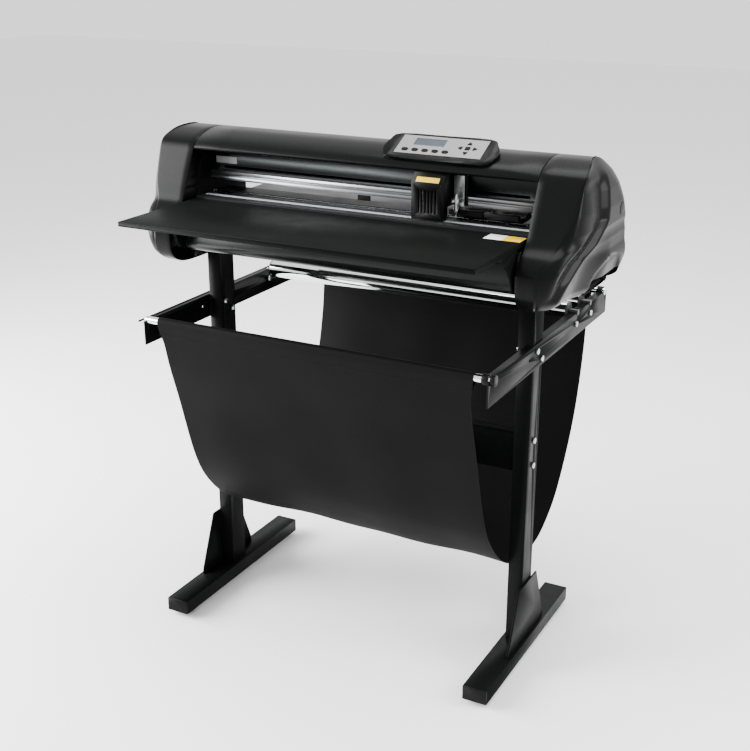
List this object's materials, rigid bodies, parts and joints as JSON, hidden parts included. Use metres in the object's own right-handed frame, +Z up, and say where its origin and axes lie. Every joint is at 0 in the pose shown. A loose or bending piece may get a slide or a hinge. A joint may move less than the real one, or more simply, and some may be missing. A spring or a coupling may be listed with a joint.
{
  "type": "vinyl cutter with stand",
  "caption": "Floor-standing vinyl cutter: long covered cutting head with flat tables and keypad on a two-leg stand, with media rollers and a black fabric catch basket.",
  "frame": {"origin": "on the floor, under the middle of the machine between the end covers and between the front table edge and the side arms' rear ends", "axes": "+X towards the machine's right as its operator sees it, +Y towards its rear, +Z up"},
  "size_m": [0.98, 0.73, 1.0752],
  "materials": {
    "black_steel": "fine powder coat, black",
    "black_cover": "satin black moulded plastic",
    "black_plastic": "black moulded plastic",
    "table_black": "satin black coating",
    "rear_grey": "satin dark grey coating",
    "chrome": "polished chrome plating",
    "steel": "zinc-plated steel",
    "shaft_steel": "ground steel with rough bands",
    "dark_aluminium": "dark anodised extrusion",
    "aluminium": "satin anodised extrusion",
    "strip": "smooth pale cutting strip",
    "fabric": "black woven nylon",
    "rubber": "black rubber",
    "silver_face": "silver-grey satin face",
    "screen": "grey-blue display window",
    "socket_metal": "plated socket shells"
  },
  "bodies": {
    "machine": {"foot_bars": "black_steel", "foot_end_caps": "black_plastic", "leveling_feet": "rubber", "legs": "black_steel", "gusset_plates": "black_steel", "cross_beam": "black_steel", "stand_bolts": "steel", "arm_left": "black_steel", "arm_right": "black_steel", "basket_rods": "chrome", "basket_rod_caps": "black_plastic", "basket_fabric": "fabric", "base_beam": "black_cover", "side_plates": "black_steel", "rail_beam": "dark_aluminium", "guide_rail": "aluminium", "platen": "rear_grey", "cutting_strip": "strip", "shaft_bearings": "steel", "drive_motors": "dark_aluminium", "feed_belt": "rubber", "carriage_belt": "rubber", "top_cover": "black_cover", "end_cover_left": "black_cover", "end_cover_right": "black_cover", "front_table": "table_black", "rear_table": "rear_grey", "table_brackets": "black_steel", "panel_housing": "black_cover", "panel_face": "silver_face", "panel_screen": "screen", "power_inlet": "black_plastic", "data_sockets": "socket_metal"},
    "media_roller_front": {"media_roller_front": "chrome"},
    "media_roller_rear": {"media_roller_rear": "chrome"},
    "base_knob": {"base_knob": "black_plastic"},
    "grit_shaft": {"grit_shaft": "shaft_steel", "feed_shaft_pulley": "aluminium"},
    "feed_motor_rotor": {"feed_motor_pulley": "aluminium"},
    "carriage": {"carriage_plate": "dark_aluminium", "carriage_cover": "black_plastic"},
    "tool_slide": {"tool_slide": "aluminium", "blade_holder": "steel"},
    "belt_drive_pulley": {"belt_drive_pulley": "aluminium"},
    "belt_idler_pulley": {"belt_idler_pulley": "aluminium"},
    "pinch_arm_left": {"pinch_arm_left": "black_plastic"},
    "pinch_arm_right": {"pinch_arm_right": "black_plastic"},
    "pinch_roller_left": {"pinch_roller_left": "rubber"},
    "pinch_roller_right": {"pinch_roller_right": "rubber"},
    "power_switch": {"power_switch": "black_plastic"},
    "menu_key_1": {"menu_key_1": "black_plastic"},
    "menu_key_2": {"menu_key_2": "black_plastic"},
    "menu_key_3": {"menu_key_3": "black_plastic"},
    "menu_key_4": {"menu_key_4": "black_plastic"},
    "menu_key_5": {"menu_key_5": "black_plastic"},
    "arrow_key_up": {"arrow_key_up": "black_plastic"},
    "arrow_key_left": {"arrow_key_left": "black_plastic"},
    "arrow_key_right": {"arrow_key_right": "black_plastic"},
    "arrow_key_down": {"arrow_key_down": "black_plastic"},
    "enter_key": {"enter_key": "black_plastic"}
  },
  "joints": [
    {"name": "front_media_roller_spin", "type": "hinge", "parent": "machine", "child": "media_roller_front", "pos_m": [0, 0.174, 0.698], "axis": [1, 0, 0], "continuous": true},
    {"name": "rear_media_roller_spin", "type": "hinge", "parent": "machine", "child": "media_roller_rear", "pos_m": [0, 0.254, 0.698], "axis": [1, 0, 0], "continuous": true},
    {"name": "base_knob_turn", "type": "hinge", "parent": "machine", "child": "base_knob", "pos_m": [-0.36, -0.132, 0.806], "axis": [0, 0, 1], "continuous": true},
    {"name": "grit_shaft_spin", "type": "hinge", "parent": "machine", "child": "grit_shaft", "pos_m": [0, -0.043, 0.9135], "axis": [1, 0, 0], "continuous": true},
    {"name": "feed_motor_spin", "type": "hinge", "parent": "machine", "child": "feed_motor_rotor", "pos_m": [0.386, 0.019, 0.852], "axis": [1, 0, 0], "continuous": true},
    {"name": "carriage_travel", "type": "slide", "parent": "machine", "child": "carriage", "axis": [1, 0, 0], "range_m": [-0.485, 0.12]},
    {"name": "tool_lift", "type": "slide", "parent": "carriage", "child": "tool_slide", "axis": [0, 0, 1], "range_m": [-0.006, 0], "stiffness_N_per_m": 200, "springref_m": 0.02},
    {"name": "belt_drive_pulley_spin", "type": "hinge", "parent": "machine", "child": "belt_drive_pulley", "pos_m": [0.348, -0.028, 0.988], "axis": [0, 1, 0], "continuous": true},
    {"name": "belt_idler_pulley_spin", "type": "hinge", "parent": "machine", "child": "belt_idler_pulley", "pos_m": [-0.348, -0.028, 0.988], "axis": [0, 1, 0], "continuous": true},
    {"name": "pinch_arm_left_lift", "type": "hinge", "parent": "machine", "child": "pinch_arm_left", "pos_m": [0.22595, -0.013, 0.9362], "axis": [1, 0, 0], "range_deg": [-6, 0]},
    {"name": "pinch_arm_right_lift", "type": "hinge", "parent": "machine", "child": "pinch_arm_right", "pos_m": [0.29905, -0.013, 0.9362], "axis": [1, 0, 0], "range_deg": [-6, 0]},
    {"name": "pinch_roller_left_spin", "type": "hinge", "parent": "pinch_arm_left", "child": "pinch_roller_left", "pos_m": [0.22595, -0.043, 0.9302], "axis": [1, 0, 0], "continuous": true},
    {"name": "pinch_roller_right_spin", "type": "hinge", "parent": "pinch_arm_right", "child": "pinch_roller_right", "pos_m": [0.29905, -0.043, 0.9302], "axis": [1, 0, 0], "continuous": true},
    {"name": "menu_key_1_press", "type": "slide", "parent": "machine", "child": "menu_key_1", "axis": [0, -0.4617, 0.887], "range_m": [-0.001, 0], "stiffness_N_per_m": 300, "springref_m": 0.0005},
    {"name": "menu_key_2_press", "type": "slide", "parent": "machine", "child": "menu_key_2", "axis": [0, -0.4617, 0.887], "range_m": [-0.001, 0], "stiffness_N_per_m": 300, "springref_m": 0.0005},
    {"name": "menu_key_3_press", "type": "slide", "parent": "machine", "child": "menu_key_3", "axis": [0, -0.4617, 0.887], "range_m": [-0.001, 0], "stiffness_N_per_m": 300, "springref_m": 0.0005},
    {"name": "menu_key_4_press", "type": "slide", "parent": "machine", "child": "menu_key_4", "axis": [0, -0.4617, 0.887], "range_m": [-0.001, 0], "stiffness_N_per_m": 300, "springref_m": 0.0005},
    {"name": "menu_key_5_press", "type": "slide", "parent": "machine", "child": "menu_key_5", "axis": [0, -0.4617, 0.887], "range_m": [-0.001, 0], "stiffness_N_per_m": 300, "springref_m": 0.0005},
    {"name": "arrow_key_up_press", "type": "slide", "parent": "machine", "child": "arrow_key_up", "axis": [0, -0.4617, 0.887], "range_m": [-0.001, 0], "stiffness_N_per_m": 300, "springref_m": 0.0005},
    {"name": "arrow_key_left_press", "type": "slide", "parent": "machine", "child": "arrow_key_left", "axis": [0, -0.4617, 0.887], "range_m": [-0.001, 0], "stiffness_N_per_m": 300, "springref_m": 0.0005},
    {"name": "arrow_key_right_press", "type": "slide", "parent": "machine", "child": "arrow_key_right", "axis": [0, -0.4617, 0.887], "range_m": [-0.001, 0], "stiffness_N_per_m": 300, "springref_m": 0.0005},
    {"name": "arrow_key_down_press", "type": "slide", "parent": "machine", "child": "arrow_key_down", "axis": [0, -0.4617, 0.887], "range_m": [-0.001, 0], "stiffness_N_per_m": 300, "springref_m": 0.0005},
    {"name": "enter_key_press", "type": "slide", "parent": "machine", "child": "enter_key", "axis": [0, -0.4617, 0.887], "range_m": [-0.001, 0], "stiffness_N_per_m": 300, "springref_m": 0.0005},
    {"name": "power_switch_rock", "type": "hinge", "parent": "machine", "child": "power_switch", "pos_m": [0.434, 0.023, 0.814], "axis": [0, 0, 1], "range_deg": [0, 16]}
  ],
  "couplings": [
    {"joint": "feed_motor_spin", "follows": "grit_shaft_spin", "ratio": 1},
    {"joint": "pinch_roller_left_spin", "follows": "grit_shaft_spin", "ratio": -1.3571},
    {"joint": "pinch_roller_right_spin", "follows": "grit_shaft_spin", "ratio": -1.3571},
    {"joint": "belt_drive_pulley_spin", "follows": "carriage_travel", "rad_per_m": 100},
    {"joint": "belt_idler_pulley_spin", "follows": "carriage_travel", "rad_per_m": 100}
  ]
}
